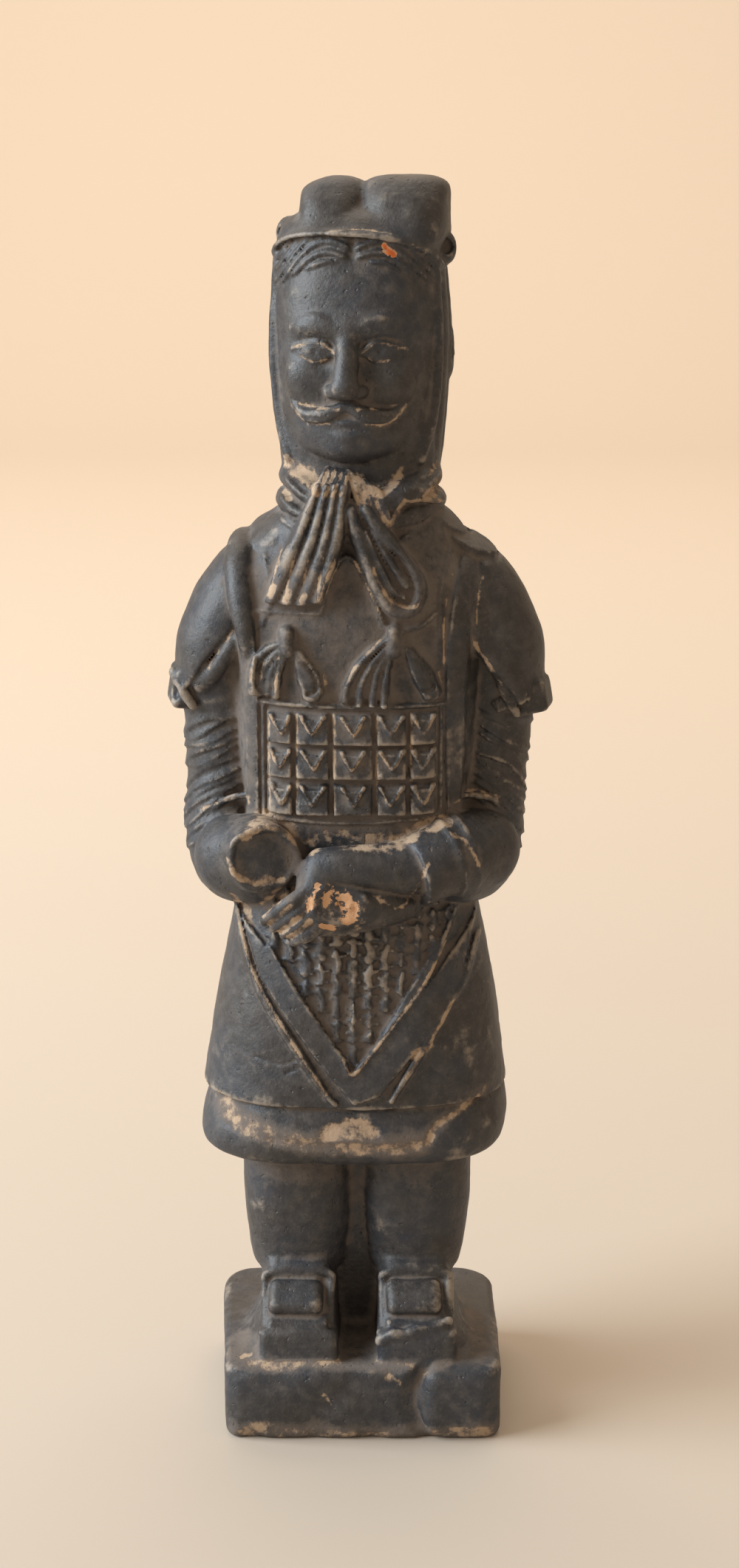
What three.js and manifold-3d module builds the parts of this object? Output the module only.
// A small press-moulded clay figurine: a standing warrior general with a forked cap, a knotted scarf,
// plated armour and hands laid together at the waist, in one piece with a low plinth.
// Millimetres, +Z up, front towards -Y, origin at the middle of the plinth's underside.
import * as THREE from "three";
import { mergeVertices } from "three/addons/utils/BufferGeometryUtils.js";
import Module from "manifold-3d";

const wasm = await Module();
wasm.setup();

// Driving dimensions of the plinth.
const PLINTH = { width: 33.1, depth: 29, height: 9.3, frontCorner: 1.8, backCorner: 6, edge: 0.8 };
const PLINTH_CRACK = { x: 9.4, radius: 3.9, gauge: 0.55 };

// Levels of the figure above the plinth's top, from the feet up.
const LEVEL = {
  instep: 8.6,
  robeHem: 24.6,
  armourHem: 32.5,
  waist: 61,
  platesFoot: 67.6,
  platesTop: 80.2,
  tasselTop: 89,
  shoulder: 97,
  collarFoot: 98.6,
  collarTop: 106.6,
  chin: 107.2,
  capRim: 131.5,
  top: 138.7,
};

// Half-widths and half-depths of the main forms.
const LEG = { apart: 14.2, halfWidth: 6.7, halfDepth: 7.2, ankle: 5.6 };
const SHOE = { halfWidth: 4.9, toe: 12.4, heel: 6.2, toeHeight: 4, padWidth: 6.2, padLength: 4.6 };
const ROBE = { halfWidth: 18.5, halfDepth: 13.3 };
const SKIRT = { halfWidth: 18.1, halfDepth: 13, waistWidth: 13.4, waistDepth: 10.5 };
const CHEST = { halfWidth: 15.3, halfDepth: 11, neckWidth: 8.4, neckDepth: 7.4 };
const ARM = { reach: 16.2, radius: 4.75, elbow: 5.1, elbowLevel: 59.6, wrist: 3.7 };
const FOLD = { count: 7, end: 0.7, depth: 0.06 };
const TUCK = { left: 0.5, right: 2 };
const PAULDRON = { halfWidth: 5.9, halfDepth: 7.3, slope: 0.85, bow: 2.1 };
const HEAD = { halfWidth: 10.2, halfDepth: 9.3, face: 8.7, turn: -8, height: 25 };
const CAP = { lobeDepth: 5.2, leftWidth: 3.9, rightWidth: 4.7, drop: 1.3 };

// Raised work on the front: heights above the surface that it lies on, and how deep it is let in.
const RELIEF = { border: 0.7, tile: 0.75, tassel: 1, tail: 1.3, strap: 0.8, scale: 0.55, sink: 0.9 };
const GRID = { columns: 5, rows: 3, halfWidth: 10.1, gap: 0.45 };
const BORDER_WIDTH = 3.6;
const FRONT_X = -1.1;
const BODY_X = -0.75;

// The finest step between two corners of the joined solid.
const WELD = 0.02;

const clamp = (value, low, high) => Math.min(high, Math.max(low, value));
const mix = (from, to, share) => from + (to - from) * share;

// A section of an upright form: an oval of half-width a and half-depth b round x, y, squarer as n grows.
const section = (z, a, b, x = 0, y = 0, n = 2.4) => ({ z, a, b, x, y, n });

// The smooth section of a form at one level, from the few sections that shape it.
function sectionAt(form, z) {
  let i = 0;
  while (i < form.length - 2 && z > form[i + 1].z) i++;
  const span = form[i + 1].z - form[i].z;
  const t = clamp((z - form[i].z) / span, 0, 1);
  const slope = (k, field) => {
    const next = form[Math.min(k + 1, form.length - 1)];
    const last = form[Math.max(k - 1, 0)];
    return (next[field] - last[field]) / (next.z - last.z);
  };
  const at = { z };
  for (const field of ["a", "b", "x", "y", "n"]) {
    const rise = form[i + 1][field] - form[i][field];
    const leave = slope(i, field) * span;
    const arrive = slope(i + 1, field) * span;
    const bend = t * (1 - t) * ((1 - t) * (leave - rise) - t * (arrive - rise));
    at[field] = form[i][field] + rise * t + bend;
  }
  return at;
}

// The front surface of a form: the y at which a line along Y meets it. Its back surface is that of the
// form after a half turn round Z, so what lies on it is turned by half a turn as well.
function frontOf(form) {
  return (x, z) => {
    const s = sectionAt(form, z);
    const out = clamp(Math.abs(x - s.x) / s.a, 0, 1);
    return s.y - s.b * (1 - out ** s.n) ** (1 / s.n);
  };
}

const backOf = (form) => (x, z) => frontOf(form)(-x, z) - 2 * sectionAt(form, z).y;

// A closed skin over rings of points, each with as many points, with a fan over each end.
function skin(rings) {
  const sides = rings[0].length;
  const points = rings.flat();
  const faces = [];
  for (let r = 0; r + 1 < rings.length; r++) {
    for (let k = 0; k < sides; k++) {
      const a = r * sides + k;
      const b = r * sides + ((k + 1) % sides);
      faces.push(a, b, b + sides, a, b + sides, a + sides);
    }
  }
  for (const [r, turn] of [[0, false], [rings.length - 1, true]]) {
    const hub = points.length;
    points.push(rings[r].reduce((sum, p) => sum.add(p), new THREE.Vector3()).divideScalar(sides));
    for (let k = 0; k < sides; k++) {
      const a = r * sides + k;
      const b = r * sides + ((k + 1) % sides);
      faces.push(...(turn ? [hub, a, b] : [hub, b, a]));
    }
  }
  const geometry = new THREE.BufferGeometry().setFromPoints(points);
  geometry.setIndex(faces);
  return geometry;
}

// An upright form skinned over rows of ovals. Its foot can slope: lift raises it by that much per mm off x.
function loft(form, rows, sides, lift = 0) {
  const rings = [];
  for (let r = 0; r <= rows; r++) {
    const z = mix(form[0].z, form.at(-1).z, r / rows);
    const s = sectionAt(form, z);
    const ring = [];
    for (let k = 0; k < sides; k++) {
      const turn = ((k + 0.5) / sides) * 2 * Math.PI;
      const [c, d] = [Math.cos(turn), Math.sin(turn)];
      const across = Math.sign(c) * Math.abs(c) ** (2 / s.n);
      const deep = Math.sign(d) * Math.abs(d) ** (2 / s.n);
      const raised = lift * (1 - r / rows) * across * s.a;
      ring.push(new THREE.Vector3(s.x + across * s.a, s.y + deep * s.b, z + raised));
    }
    rings.push(ring);
  }
  return skin(rings);
}

// A limb or roll of round section along a smooth line. Its radius runs through the stations' radii.
function limb(stations, steps, sides, fold = () => 1) {
  const line = new THREE.CatmullRomCurve3(stations.map(([x, y, z]) => new THREE.Vector3(x, y, z)));
  const frames = line.computeFrenetFrames(steps, false);
  const rings = [];
  for (let i = 0; i <= steps; i++) {
    const place = (i / steps) * (stations.length - 1);
    const k = Math.min(Math.floor(place), stations.length - 2);
    const radius = mix(stations[k][3], stations[k + 1][3], place - k) * fold(i / steps);
    const centre = line.getPoint(i / steps);
    const ring = [];
    for (let s = 0; s < sides; s++) {
      const turn = (s / sides) * 2 * Math.PI;
      const out = frames.normals[i].clone().multiplyScalar(Math.cos(turn) * radius);
      out.addScaledVector(frames.binormals[i], Math.sin(turn) * radius);
      ring.push(out.add(centre));
    }
    rings.push(ring);
  }
  return skin(rings);
}

// Raised work lying on a front surface. path(t) gives x and z, half(t) the half-width, and the profile
// pairs a share of the half-width with a height above the surface.
function raised({ path, half, profile, on, steps, swell = () => 1 }) {
  const rings = [];
  for (let i = 0; i <= steps; i++) {
    const t = i / steps;
    const [x, z] = path(t);
    const [ax, az] = path(Math.max(t - 0.01, 0));
    const [bx, bz] = path(Math.min(t + 0.01, 1));
    const long = Math.hypot(bx - ax, bz - az);
    const side = [-(bz - az) / long, (bx - ax) / long];
    const ring = profile.map(([share, height]) => {
      const px = x + side[0] * share * half(t);
      const pz = z + side[1] * share * half(t);
      const up = height > 0 ? height * swell(t) : height;
      return new THREE.Vector3(px, on(px, pz) - up, pz);
    });
    rings.push(ring);
  }
  return skin(rings);
}

const line = (from, to) => (t) => [mix(from[0], to[0], t), mix(from[1], to[1], t)];
const flat = (height, shoulder = 0.75) => [
  [-1, -RELIEF.sink],
  [-shoulder, height],
  [shoulder, height],
  [1, -RELIEF.sink],
];
const ridge = (height) => [[-1, -RELIEF.sink], [0, height], [1, -RELIEF.sink]];

// A fluted profile: ridges side by side, as in gathered cloth or a tassel's cords.
function fluted(ridges, height, valley) {
  const profile = [[-1, -RELIEF.sink]];
  for (let i = 0; i < ridges; i++) {
    const middle = -1 + (2 * i + 1) / ridges;
    profile.push([middle, height]);
    if (i + 1 < ridges) profile.push([middle + 1 / ridges, valley]);
  }
  profile.push([1, -RELIEF.sink]);
  return profile;
}

function ball(radii, place, turn = [0, 0, 0], sides = 14, rows = 9) {
  return new THREE.SphereGeometry(1, sides, rows)
    .scale(...radii)
    .rotateX(turn[0])
    .rotateY(turn[1])
    .rotateZ(turn[2])
    .translate(...place);
}

// The triangles that still have three different corners.
function whole(corners) {
  return corners.filter((_, i, all) => {
    const f = i - (i % 3);
    return all[f] !== all[f + 1] && all[f + 1] !== all[f + 2] && all[f + 2] !== all[f];
  });
}

// Where two sheets of a surface touch along an edge, so that it has four faces, its two ends become one.
function unpinched(corners) {
  const edges = new Map();
  corners.forEach((corner, i) => {
    const ends = [corner, corners[i % 3 === 2 ? i - 2 : i + 1]].sort((a, b) => a - b);
    const edge = edges.get(ends.join()) ?? { ends, faces: 0 };
    edges.set(ends.join(), { ends, faces: edge.faces + 1 });
  });
  const drawn = new Map();
  for (const { ends, faces } of edges.values()) if (faces > 2) drawn.set(ends[1], ends[0]);
  return whole(corners.map((corner) => drawn.get(corner) ?? corner));
}

// A closed geometry as a solid, turned right side out. Its corners are set to the weld gauge, so that no
// two of them lie closer than that.
function solidOf(geometry) {
  const places = geometry.getAttribute("position").array.map((value) => Math.round(value / WELD) * WELD);
  const bare = new THREE.BufferGeometry().setAttribute("position", new THREE.BufferAttribute(places, 3));
  bare.setIndex(geometry.index);
  const merged = mergeVertices(bare, WELD / 4);
  const corners = unpinched(whole(new Uint32Array(merged.index.array)));
  const vertProperties = merged.attributes.position.array;
  const made = (triVerts) => new wasm.Manifold(new wasm.Mesh({ numProp: 3, vertProperties, triVerts }));
  const solid = made(corners);
  return solid.volume() > 0 ? solid : made(corners.slice().reverse());
}

const fuse = (geometries) => geometries.map(solidOf).reduce((whole, next) => whole.add(next));

// The plinth: a slab with round back corners and softened edges, its front broken by one round crack.
function plinth() {
  const { width, depth, height, frontCorner, backCorner, edge } = PLINTH;
  const [w, d] = [width / 2 - edge, depth / 2 - edge];
  const outline = new THREE.Shape();
  outline.moveTo(-w + frontCorner, -d);
  outline.lineTo(w - frontCorner, -d);
  outline.absarc(w - frontCorner, -d + frontCorner, frontCorner, -Math.PI / 2, 0);
  outline.absarc(w - backCorner, d - backCorner, backCorner, 0, Math.PI / 2);
  outline.absarc(-w + backCorner, d - backCorner, backCorner, Math.PI / 2, Math.PI);
  outline.absarc(-w + frontCorner, -d + frontCorner, frontCorner, Math.PI, Math.PI * 1.5);
  const slab = new THREE.ExtrudeGeometry(outline, {
    depth: height - 2 * edge,
    bevelThickness: edge,
    bevelSize: edge,
    bevelSegments: 1,
    curveSegments: 4,
  }).translate(0, 0, edge);
  const crack = new THREE.TorusGeometry(PLINTH_CRACK.radius, PLINTH_CRACK.gauge, 5, 20)
    .rotateX(Math.PI / 2)
    .translate(PLINTH_CRACK.x, -depth / 2, height / 2);
  return solidOf(slab).subtract(solidOf(crack));
}

// One trouser leg with its square-toed shoe and the shoe's tongue. side is -1 on the viewer's left.
function leg(side) {
  const x = BODY_X + (side * LEG.apart) / 2;
  const trouser = [
    section(LEVEL.instep - 1.6, LEG.ankle, 6, x, 0.4, 2.5),
    section(LEVEL.instep + 2, LEG.ankle + 0.4, 6.5, x, 0.4, 2.5),
    section(mix(LEVEL.instep, LEVEL.robeHem, 0.55), LEG.halfWidth, LEG.halfDepth, x, 0.3, 2.5),
    section(LEVEL.robeHem + 2.5, LEG.halfWidth, LEG.halfDepth, x, 0.3, 2.5),
  ];
  const sole = (z, toe) => section(z, SHOE.halfWidth, (toe + SHOE.heel) / 2, x, (SHOE.heel - toe) / 2, 4.5);
  const shoe = [
    sole(-1, SHOE.toe),
    sole(SHOE.toeHeight - 0.8, SHOE.toe),
    sole(SHOE.toeHeight + 0.3, SHOE.toe - 0.9),
    sole(LEVEL.instep - 1, SHOE.toe - 5.2),
    sole(LEVEL.instep, SHOE.toe - 6.4),
  ];
  const pad = new THREE.BoxGeometry(SHOE.padWidth, SHOE.padLength, 1.6)
    .rotateX(0.72)
    .translate(x, -SHOE.toe + 3.6, mix(SHOE.toeHeight, LEVEL.instep, 0.5));
  return [loft(trouser, 4, 12), loft(shoe, 4, 12), pad];
}

// The clay left standing between and behind the legs.
function web() {
  const height = LEVEL.robeHem + 3;
  return new THREE.BoxGeometry(LEG.apart, 6, height).translate(BODY_X, 3.4, height / 2 - 0.5);
}

// The under-robe's rolled hem and the bell of the armour skirt over it.
const robeForm = [
  section(LEVEL.robeHem, ROBE.halfWidth - 3, ROBE.halfDepth - 2.4, BODY_X, 0, 2.8),
  section(LEVEL.robeHem + 1.2, ROBE.halfWidth - 0.9, ROBE.halfDepth - 0.8, BODY_X, 0, 2.8),
  section(LEVEL.robeHem + 4, ROBE.halfWidth, ROBE.halfDepth, BODY_X, 0, 2.7),
  section(LEVEL.armourHem + 1, ROBE.halfWidth - 0.7, ROBE.halfDepth - 0.5, BODY_X, 0, 2.6),
];
const skirtForm = [
  section(LEVEL.armourHem, SKIRT.halfWidth, SKIRT.halfDepth, BODY_X, 0, 2.6),
  section(mix(LEVEL.armourHem, LEVEL.waist, 0.45), SKIRT.halfWidth - 1.8, SKIRT.halfDepth - 0.9, BODY_X, 0, 2.5),
  section(mix(LEVEL.armourHem, LEVEL.waist, 0.78), SKIRT.waistWidth + 1, SKIRT.waistDepth + 0.6, BODY_X, 0, 2.4),
  section(LEVEL.waist, SKIRT.waistWidth, SKIRT.waistDepth, BODY_X, 0, 2.4),
  section(LEVEL.platesFoot, SKIRT.waistWidth, SKIRT.waistDepth, BODY_X, 0, 2.4),
];
const chestForm = [
  section(LEVEL.waist - 2, SKIRT.waistWidth, SKIRT.waistDepth - 0.2, BODY_X, 0, 2.4),
  section(LEVEL.platesFoot, SKIRT.waistWidth + 0.3, SKIRT.waistDepth + 0.1, BODY_X, 0, 2.5),
  section(LEVEL.tasselTop, CHEST.halfWidth, CHEST.halfDepth, BODY_X, 0, 2.5),
  section(LEVEL.shoulder - 2.5, CHEST.halfWidth, CHEST.halfDepth - 1, BODY_X + 0.3, 0.3, 2.4),
  section(LEVEL.shoulder + 1, CHEST.halfWidth - 3, CHEST.halfDepth - 2.4, BODY_X + 0.5, 0.7, 2.2),
  section(LEVEL.collarFoot + 4, CHEST.neckWidth, CHEST.neckDepth, BODY_X + 0.6, 0.6, 2.1),
];
const skirtFront = frontOf(skirtForm);
const chestFront = frontOf(chestForm);

// The pointed apron of the armour: a border in a V, and columns of small scales inside it.
function apron() {
  const tip = [FRONT_X, LEVEL.armourHem + BORDER_WIDTH * 0.9];
  const inner = (side) => [FRONT_X + side * 13.2, LEVEL.waist - 6.2];
  const parts = [-1, 1].map((side) =>
    raised({
      path: line(inner(side), [tip[0] - side * 0.3, tip[1]]),
      half: () => BORDER_WIDTH / 2,
      profile: flat(RELIEF.border, 0.85),
      on: skirtFront,
      steps: 6,
    }),
  );
  const columns = 7;
  for (let c = 0; c < columns; c++) {
    const x = FRONT_X + (c - (columns - 1) / 2) * 2.3;
    const foot = tip[1] + 3.4 + Math.abs(x - FRONT_X) * 1.5;
    for (let z = LEVEL.waist - 5.6 - (c % 2) * 1.4; z - 3.4 > foot; z -= 4.2) {
      parts.push(
        raised({
          path: line([x, z], [x, z - 3.4]),
          half: () => 0.75,
          profile: ridge(RELIEF.scale * 1.6),
          on: skirtFront,
          steps: 1,
        }),
      );
    }
  }
  return parts;
}

// Rows of square plates laid like shingles: each stands out more at its foot, under a small flap.
function plates() {
  const parts = [];
  const wide = (GRID.halfWidth * 2) / GRID.columns;
  const tall = (LEVEL.platesTop - LEVEL.platesFoot) / GRID.rows;
  for (let r = 0; r < GRID.rows; r++) {
    for (let c = 0; c < GRID.columns; c++) {
      const x = FRONT_X + (c + 0.5) * wide - GRID.halfWidth;
      const z = LEVEL.platesTop - r * tall;
      parts.push(
        raised({
          path: line([x, z - GRID.gap], [x, z - tall]),
          half: () => (wide - GRID.gap) / 2,
          profile: flat(RELIEF.tile, 0.84),
          on: chestFront,
          steps: 1,
          swell: (t) => mix(0.35, 1, t),
        }),
        raised({
          path: line([x, z - 0.9], [x, z - tall * 0.62]),
          half: (t) => mix(1.25, 0.15, t),
          profile: ridge(RELIEF.tile * 1.9),
          on: chestFront,
          steps: 1,
        }),
      );
    }
  }
  return parts;
}

// The plain back of the armour: a flat panel from the shoulders to the waist, and a border above the hem.
function armourBack() {
  const panel = raised({
    path: line([0, LEVEL.shoulder - 4], [0, LEVEL.waist + 2]),
    half: () => GRID.halfWidth,
    profile: flat(RELIEF.border, 0.92),
    on: backOf(chestForm),
    steps: 4,
  });
  const border = raised({
    path: (t) => [mix(-13.5, 13.5, t), LEVEL.armourHem + BORDER_WIDTH],
    half: () => BORDER_WIDTH / 2,
    profile: flat(RELIEF.border, 0.85),
    on: backOf(skirtForm),
    steps: 6,
  });
  return [panel, border].map((part) => part.rotateZ(Math.PI));
}

// A tassel: a small knot and a fan of cords below it.
function tassel(x, foot, reach) {
  const fan = raised({
    path: line([x, LEVEL.tasselTop - 1], [foot, LEVEL.platesTop + 1]),
    half: (t) => mix(0.7, reach, t ** 0.75),
    profile: fluted(5, RELIEF.tassel, 0.35),
    on: chestFront,
    steps: 3,
    swell: (t) => (t > 0.95 ? 0.5 : 1),
  });
  const knot = ball([1, 1.1, 1.1], [x, chestFront(x, LEVEL.tasselTop) - 0.3, LEVEL.tasselTop - 0.7], [0, 0, 0], 8, 6);
  return [fan, knot];
}

// The scarf: two rolls round the neck, a knot and two gathered tails that part over the chest.
function scarf() {
  const x = BODY_X + 0.7;
  const rolls = [0, 1].map((i) => {
    const z = mix(LEVEL.collarFoot, LEVEL.collarTop, 0.3 + 0.4 * i);
    const out = 1.1 - 0.4 * i;
    const roll = [
      section(z - 2.6, CHEST.neckWidth - 1, CHEST.neckDepth, x, -0.2, 2.2),
      section(z - 1, CHEST.neckWidth + out, CHEST.neckDepth + 1.7, x, -0.4, 2.2),
      section(z + 1, CHEST.neckWidth + out, CHEST.neckDepth + 1.7, x, -0.4, 2.2),
      section(z + 2.6, CHEST.neckWidth - 1, CHEST.neckDepth, x, -0.2, 2.2),
    ];
    return loft(roll, 3, 16);
  });
  const lie = (px, pz) => chestFront(px, Math.min(pz, LEVEL.shoulder)) - mix(0, 1.6, clamp((pz - 96) / 8, 0, 1));
  const tail = (from, to, wide, ridges) =>
    raised({
      path: line(from, to),
      half: (t) => mix(1.4, wide, t ** 0.8),
      profile: fluted(ridges, RELIEF.tail, 0.5),
      on: lie,
      steps: 3,
      swell: (t) => (t > 0.95 ? 0.6 : 1),
    });
  return [
    ...rolls,
    tail([FRONT_X - 0.7, LEVEL.collarTop - 2], [FRONT_X - 6.9, LEVEL.tasselTop + 3], 3.3, 4),
    tail([FRONT_X + 0.6, LEVEL.collarTop - 3], [FRONT_X + 6.6, LEVEL.tasselTop + 1.9], 2.6, 3),
    ball([2.9, 1.6, 2.4], [FRONT_X - 0.4, -CHEST.neckDepth - 2, LEVEL.collarTop - 2.4], [0.3, 0, 0], 10, 6),
  ];
}

// A shoulder strap from the collar's side down the chest.
function strap(side) {
  const wide = 1.75;
  const on = (px, pz) => chestFront(px, Math.min(pz, LEVEL.shoulder + 1));
  return raised({
    path: (t) => [BODY_X + side * mix(12.9, 12.3, t), mix(LEVEL.shoulder + 0.8, LEVEL.platesFoot + 2, t)],
    half: () => wide,
    profile: flat(RELIEF.strap, 0.6),
    on,
    steps: 5,
    swell: (t) => (t < 0.1 ? 1.8 : 1),
  });
}

// One arm: the shoulder guard with its tied bow, the crumpled sleeve and the bent elbow, which is drawn in.
function arm(side) {
  const x = (reach) => BODY_X + 0.4 + side * reach;
  const tuck = side > 0 ? TUCK.right : TUCK.left;
  const guard = [
    section(LEVEL.tasselTop - 6.6, PAULDRON.halfWidth - 0.2, PAULDRON.halfDepth - 0.4, x(ARM.reach - 0.4), 0, 2.2),
    section(LEVEL.tasselTop - 2.3, PAULDRON.halfWidth - 0.1, PAULDRON.halfDepth, x(ARM.reach - 0.7), 0, 2.2),
    section(LEVEL.tasselTop + 1.5, PAULDRON.halfWidth - 0.5, PAULDRON.halfDepth - 0.2, x(ARM.reach - 1.8), 0, 2.2),
    section(LEVEL.tasselTop + 4.3, PAULDRON.halfWidth - 1, PAULDRON.halfDepth - 0.8, x(ARM.reach - 2.8), 0.1, 2.2),
    section(LEVEL.shoulder - 1.2, PAULDRON.halfWidth - 2.2, PAULDRON.halfDepth - 2, x(ARM.reach - 3.5), 0.3, 2.2),
    section(LEVEL.shoulder + 0.6, PAULDRON.halfWidth - 3.6, PAULDRON.halfDepth - 3.4, x(ARM.reach - 4), 0.5, 2.2),
  ];
  const stations = [
    [x(ARM.reach - 0.4), 0.3, LEVEL.tasselTop - 1, ARM.radius],
    [x(ARM.reach - 0.3 * tuck), 0.2, LEVEL.tasselTop - 11, ARM.radius - 0.2],
    [x(ARM.reach - 0.8 * tuck), -0.6, ARM.elbowLevel + 8, ARM.radius],
    [x(ARM.reach - 0.9 - tuck), -2.6, ARM.elbowLevel + 0.6, ARM.elbow],
    [x(ARM.reach - 3.6 - 0.6 * tuck), -6.6, ARM.elbowLevel + 0.6, ARM.elbow],
    [x(ARM.reach - 5.4), -9.8, ARM.elbowLevel + 3, ARM.wrist + 0.9],
  ];
  const folds = (t) => 1 + (t < FOLD.end ? FOLD.depth * Math.cos(t * FOLD.count * 2 * Math.PI) : 0);
  const bow = new THREE.BoxGeometry(PAULDRON.bow, 3.6, 4.4).translate(x(ARM.reach + 4.7), -0.6, LEVEL.tasselTop - 7.9);
  return [loft(guard, 4, 12, -side * PAULDRON.slope), limb(stations, 14, 8, folds), bow];
}

// The hands laid together before the waist: one in its round cuff, the other over it with bent fingers.
function hands() {
  const z = ARM.elbowLevel;
  const cuff = ball([4.2, 3.2, 4], [-11.4, -11, z + 3.3], [0, 0, 0], 12, 6);
  const forearm = limb(
    [
      [10.5, -9.4, z + 3.2, ARM.wrist + 0.7],
      [5, -12.2, z + 2.4, ARM.wrist],
      [0, -13.6, z + 1.2, ARM.wrist - 0.3],
      [-4.2, -14.2, z - 0.6, ARM.wrist - 0.5],
    ],
    6,
    10,
  );
  const back = ball([5.2, 3, 4.4], [-3.4, -14, z - 1.6], [0, -0.45, 0], 10, 7);
  const fingers = [0, 1, 2, 3].map((i) =>
    limb(
      [
        [-4.6 + i * 0.6, -14.8 - i * 0.25, z + 0.8 - i * 1.5, 1.35],
        [-8.2 + i * 0.6, -14.6 - i * 0.25, z - 1.3 - i * 1.45, 1.25],
        [-10.9 + i * 0.8, -13 - i * 0.25, z - 3.4 - i * 1.15, 1.05],
      ],
      3,
      6,
    ),
  );
  return [cuff, forearm, back, ...fingers];
}

// The head in its own frame, before it is turned: hair and neck, the face, its features, hair and cap.
function head() {
  const chin = LEVEL.chin;
  const brow = chin + HEAD.height * 0.64;
  const nose = chin + HEAD.height * 0.32;
  const hairForm = [
    section(chin - 5, HEAD.halfWidth - 2, HEAD.halfDepth - 1.6, 0, 0.9, 2.3),
    section(chin, HEAD.halfWidth - 1, HEAD.halfDepth - 0.8, 0, 1.3, 2.3),
    section(chin + 12, HEAD.halfWidth, HEAD.halfDepth, 0, 1.3, 2.3),
    section(chin + 18, HEAD.halfWidth - 0.2, HEAD.halfDepth, 0, 1.3, 2.3),
    section(chin + 23.5, HEAD.halfWidth - 1.2, HEAD.halfDepth - 1.4, 0, 1.3, 2.3),
    section(chin + 27.4, HEAD.halfWidth - 4.6, HEAD.halfDepth - 4.4, 0, 1.6, 2.3),
  ];
  const faceForm = [
    section(chin, 3.4, 3.2, 0, -4.6, 2.1),
    section(chin + 1.8, 6, 5.2, 0, -3.6, 2.1),
    section(chin + 5.5, HEAD.face - 1.1, 7, 0, -2.6, 2.1),
    section(chin + 12, HEAD.face, 8, 0, -1.7, 2.2),
    section(chin + 18, HEAD.face - 0.1, 8, 0, -1.3, 2.2),
    section(chin + 23, HEAD.face - 1.4, 6.8, 0, -0.8, 2.2),
    section(chin + 26.4, HEAD.face - 4.4, 4, 0, -0.2, 2.2),
  ];
  const face = frontOf(faceForm);
  const hair = frontOf(hairForm);
  const front = (x, z) => Math.min(face(x, z), hair(x, z));
  const noseForm = [
    section(nose - 0.5, 1.9, 1.6, 0, face(0, nose) - 0.1, 2),
    section(nose + 0.9, 2.1, 2.7, 0, face(0, nose) - 0.1, 2),
    section(nose + 2.6, 1.4, 2.3, 0, face(0, nose) + 0.1, 2),
    section(brow - 0.6, 0.9, 1.2, 0, face(0, brow) + 0.1, 2),
  ];
  const pair = (make) => [-1, 1].flatMap(make);
  const brows = pair((side) =>
    raised({
      path: (t) => [side * mix(1, 6.4, t), brow + 1.3 * Math.sin(t * 2.4) - 0.2],
      half: () => 0.6,
      profile: ridge(0.75),
      on: face,
      steps: 3,
    }),
  );
  const eyes = pair((side) =>
    raised({
      path: (t) => [side * mix(1.7, 5.9, t), brow - 2.6 + 0.3 * t],
      half: (t) => 0.25 + 0.85 * Math.sin(Math.PI * clamp(t, 0.05, 0.95)),
      profile: ridge(0.9),
      on: face,
      steps: 4,
    }),
  );
  const moustache = pair((side) =>
    raised({
      path: (t) => [side * mix(0.3, 6.6, t), nose - 1.5 - 1.5 * Math.sin(t * 2.6) + 2.2 * t * t],
      half: (t) => mix(0.85, 0.3, t),
      profile: ridge(1.05),
      on: face,
      steps: 5,
    }),
  );
  const lip = raised({
    path: (t) => [mix(-2.7, 2.7, t), nose - 3.5 - 0.3 * Math.sin(Math.PI * t)],
    half: (t) => 0.2 + 0.6 * Math.sin(Math.PI * clamp(t, 0.05, 0.95)),
    profile: ridge(0.8),
    on: face,
    steps: 4,
  });
  const tuft = raised({
    path: line([0, nose - 4.5], [0, chin + 1.4]),
    half: (t) => mix(0.8, 0.35, t),
    profile: ridge(0.6),
    on: face,
    steps: 1,
  });
  const ears = pair((side) => ball([1, 1.7, 3.3], [side * (HEAD.halfWidth - 0.1), 1.4, brow - 3.2], [0.12, 0, 0], 7, 6));
  const locks = pair((side) =>
    [0, 1, 2].map((i) =>
      raised({
        path: (t) => [side * mix(0.6 + i * 0.5, 7.2 - i * 0.4, t), chin + 22.2 + i * 1.35 - t * t * (2.4 - i * 0.5)],
        half: () => 0.62,
        profile: ridge(0.6),
        on: front,
        steps: 3,
      }),
    ),
  );
  const sideburns = pair((side) =>
    raised({
      path: (t) => [side * mix(8.5, 7.7, t ** 2), mix(chin + 20, chin + 0.8, t)],
      half: () => 0.9,
      profile: ridge(0.6),
      on: hair,
      steps: 3,
    }),
  );
  const plait = loft(
    [
      section(chin + 1, 3, 1.6, 0, 9.4, 3),
      section(chin + 8, 3.6, 2, 0, 10, 3),
      section(chin + 19, 3.2, 2, 0, 9.6, 3),
      section(chin + 24, 2.6, 2, 0, 7, 3),
    ],
    4,
    10,
  );
  const parts = [loft(hairForm, 7, 16), loft(faceForm, 7, 14), loft(noseForm, 3, 8)];
  parts.push(...brows, ...eyes, ...moustache, lip, tuft, ...ears, ...locks, ...sideburns, plait);
  return [...parts, ...cap()];
}

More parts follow.
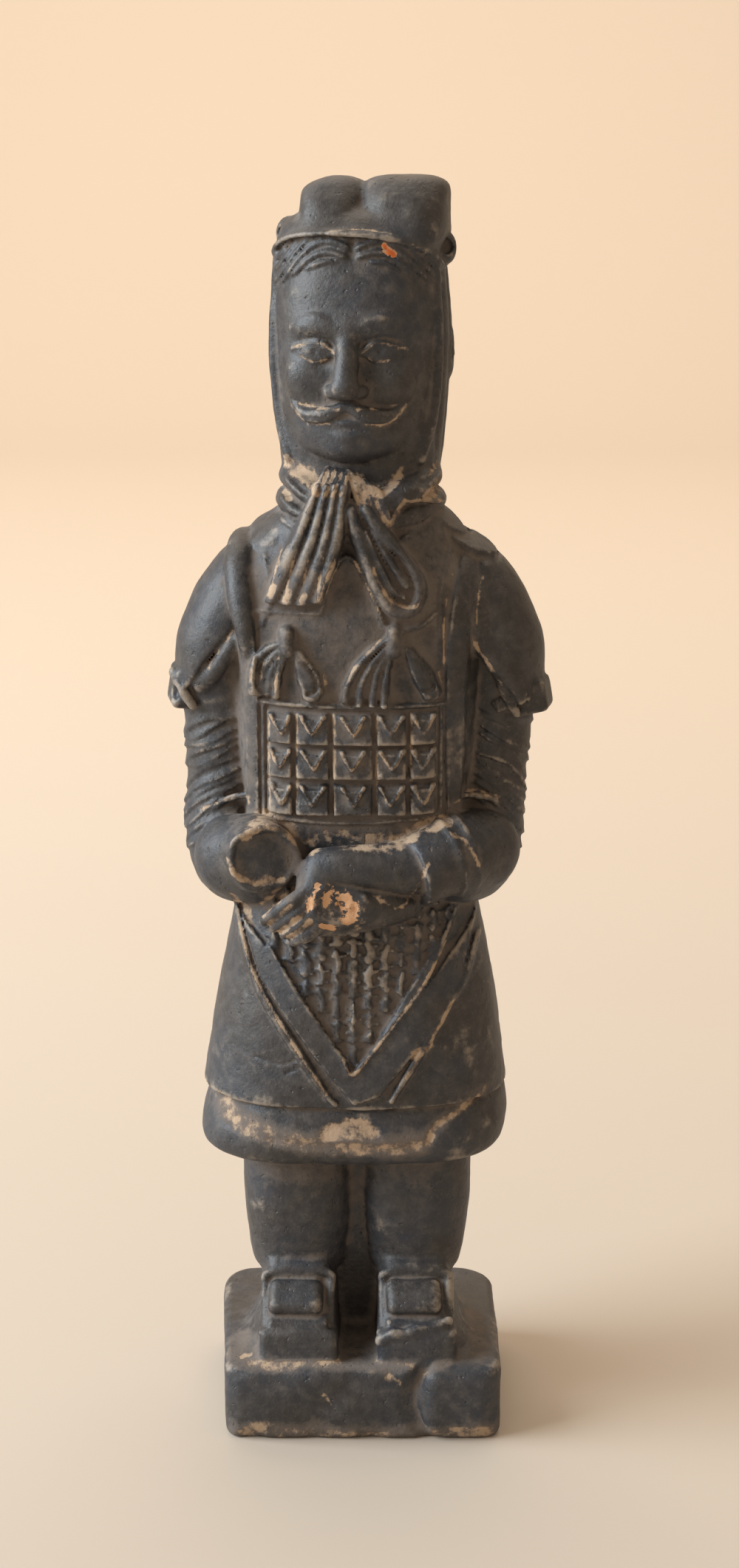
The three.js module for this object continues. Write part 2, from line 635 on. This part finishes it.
// The forked cap on the crown: a tilted rim, two upright lobes of unequal width and a tie end each side.
function cap() {
  const rim = loft(
    [
      section(-1.4, 8.7, 7.3, 0, 0.6, 2.4),
      section(0, 9.2, 7.8, 0, 0.6, 2.4),
      section(1.5, 8.9, 7.4, 0, 0.8, 2.4),
      section(3.4, 6.4, 5.4, 0, 1.2, 2.4),
    ],
    3,
    18,
  )
    .rotateX(-0.2)
    .translate(0, 0.4, LEVEL.capRim - 0.9);
  const lobe = (x, half, top) =>
    loft(
      [
        section(LEVEL.capRim - 1.5, half + 0.3, CAP.lobeDepth + 0.4, x, 1.8, 3),
        section(mix(LEVEL.capRim, top, 0.5), half, CAP.lobeDepth, x, 1.9, 3),
        section(top - 0.7, half - 0.3, CAP.lobeDepth - 0.5, x, 2.1, 3),
        section(top, half - 1.1, CAP.lobeDepth - 1.4, x, 2.1, 3),
      ],
      3,
      12,
    );
  const tie = (x, z) => ball([1.3, 1.9, 2], [x, 0.8, z], [0, 0, 0], 8, 7);
  return [
    rim,
    lobe(-3.2, CAP.leftWidth, LEVEL.top - CAP.drop),
    lobe(5, CAP.rightWidth, LEVEL.top),
    tie(-8.6, LEVEL.capRim + 0.9),
    tie(9.5, LEVEL.capRim - 0.9),
  ];
}

// The whole figure, on the plinth's top.
function figure() {
  const turned = head().map((part) => part.rotateZ(THREE.MathUtils.degToRad(HEAD.turn)).translate(-0.35, 0, 0));
  const parts = [
    ...leg(-1),
    ...leg(1),
    web(),
    loft(robeForm, 4, 24),
    loft(skirtForm, 5, 24),
    loft(chestForm, 7, 24),
    ...apron(),
    ...plates(),
    ...armourBack(),
    ...tassel(FRONT_X - 7.2, FRONT_X - 7.4, 4.1),
    ...tassel(FRONT_X + 4.6, FRONT_X + 4.6, 5.2),
    ...scarf(),
    strap(-1),
    strap(1),
    ...arm(-1),
    ...arm(1),
    ...hands(),
    ...turned,
  ];
  return fuse(parts.map((part) => part.translate(0, 0, PLINTH.height)));
}

// A solid as a three.js geometry.
function geometryOf(solid) {
  const { vertProperties, triVerts } = solid.getMesh();
  const geometry = new THREE.BufferGeometry();
  geometry.setAttribute("position", new THREE.BufferAttribute(vertProperties, 3));
  geometry.setIndex(new THREE.BufferAttribute(triVerts, 1));
  geometry.computeVertexNormals();
  return geometry;
}

// The outer shell alone: pockets sealed between the joined forms are clay too. Slivers that the welding
// parts from the shell are dropped as well, until the shell built again from its corners stays as it is.
function outerShell(solid) {
  const shells = solidOf(geometryOf(solid)).decompose();
  const outer = shells.reduce((most, next) => (next.volume() > most.volume() ? next : most));
  const settled = shells.length === 1 && outer.numTri() === solid.numTri();
  return settled ? solid : outerShell(outer);
}

const blackenedClay = new THREE.MeshStandardMaterial({ color: 0x3a3836, roughness: 0.72, metalness: 0 });
const moulded = outerShell(plinth().add(figure()));
const warrior = new THREE.Mesh(geometryOf(moulded), blackenedClay);
warrior.name = "warrior_figurine";

const part = new THREE.Group();
part.add(warrior);

export default part;
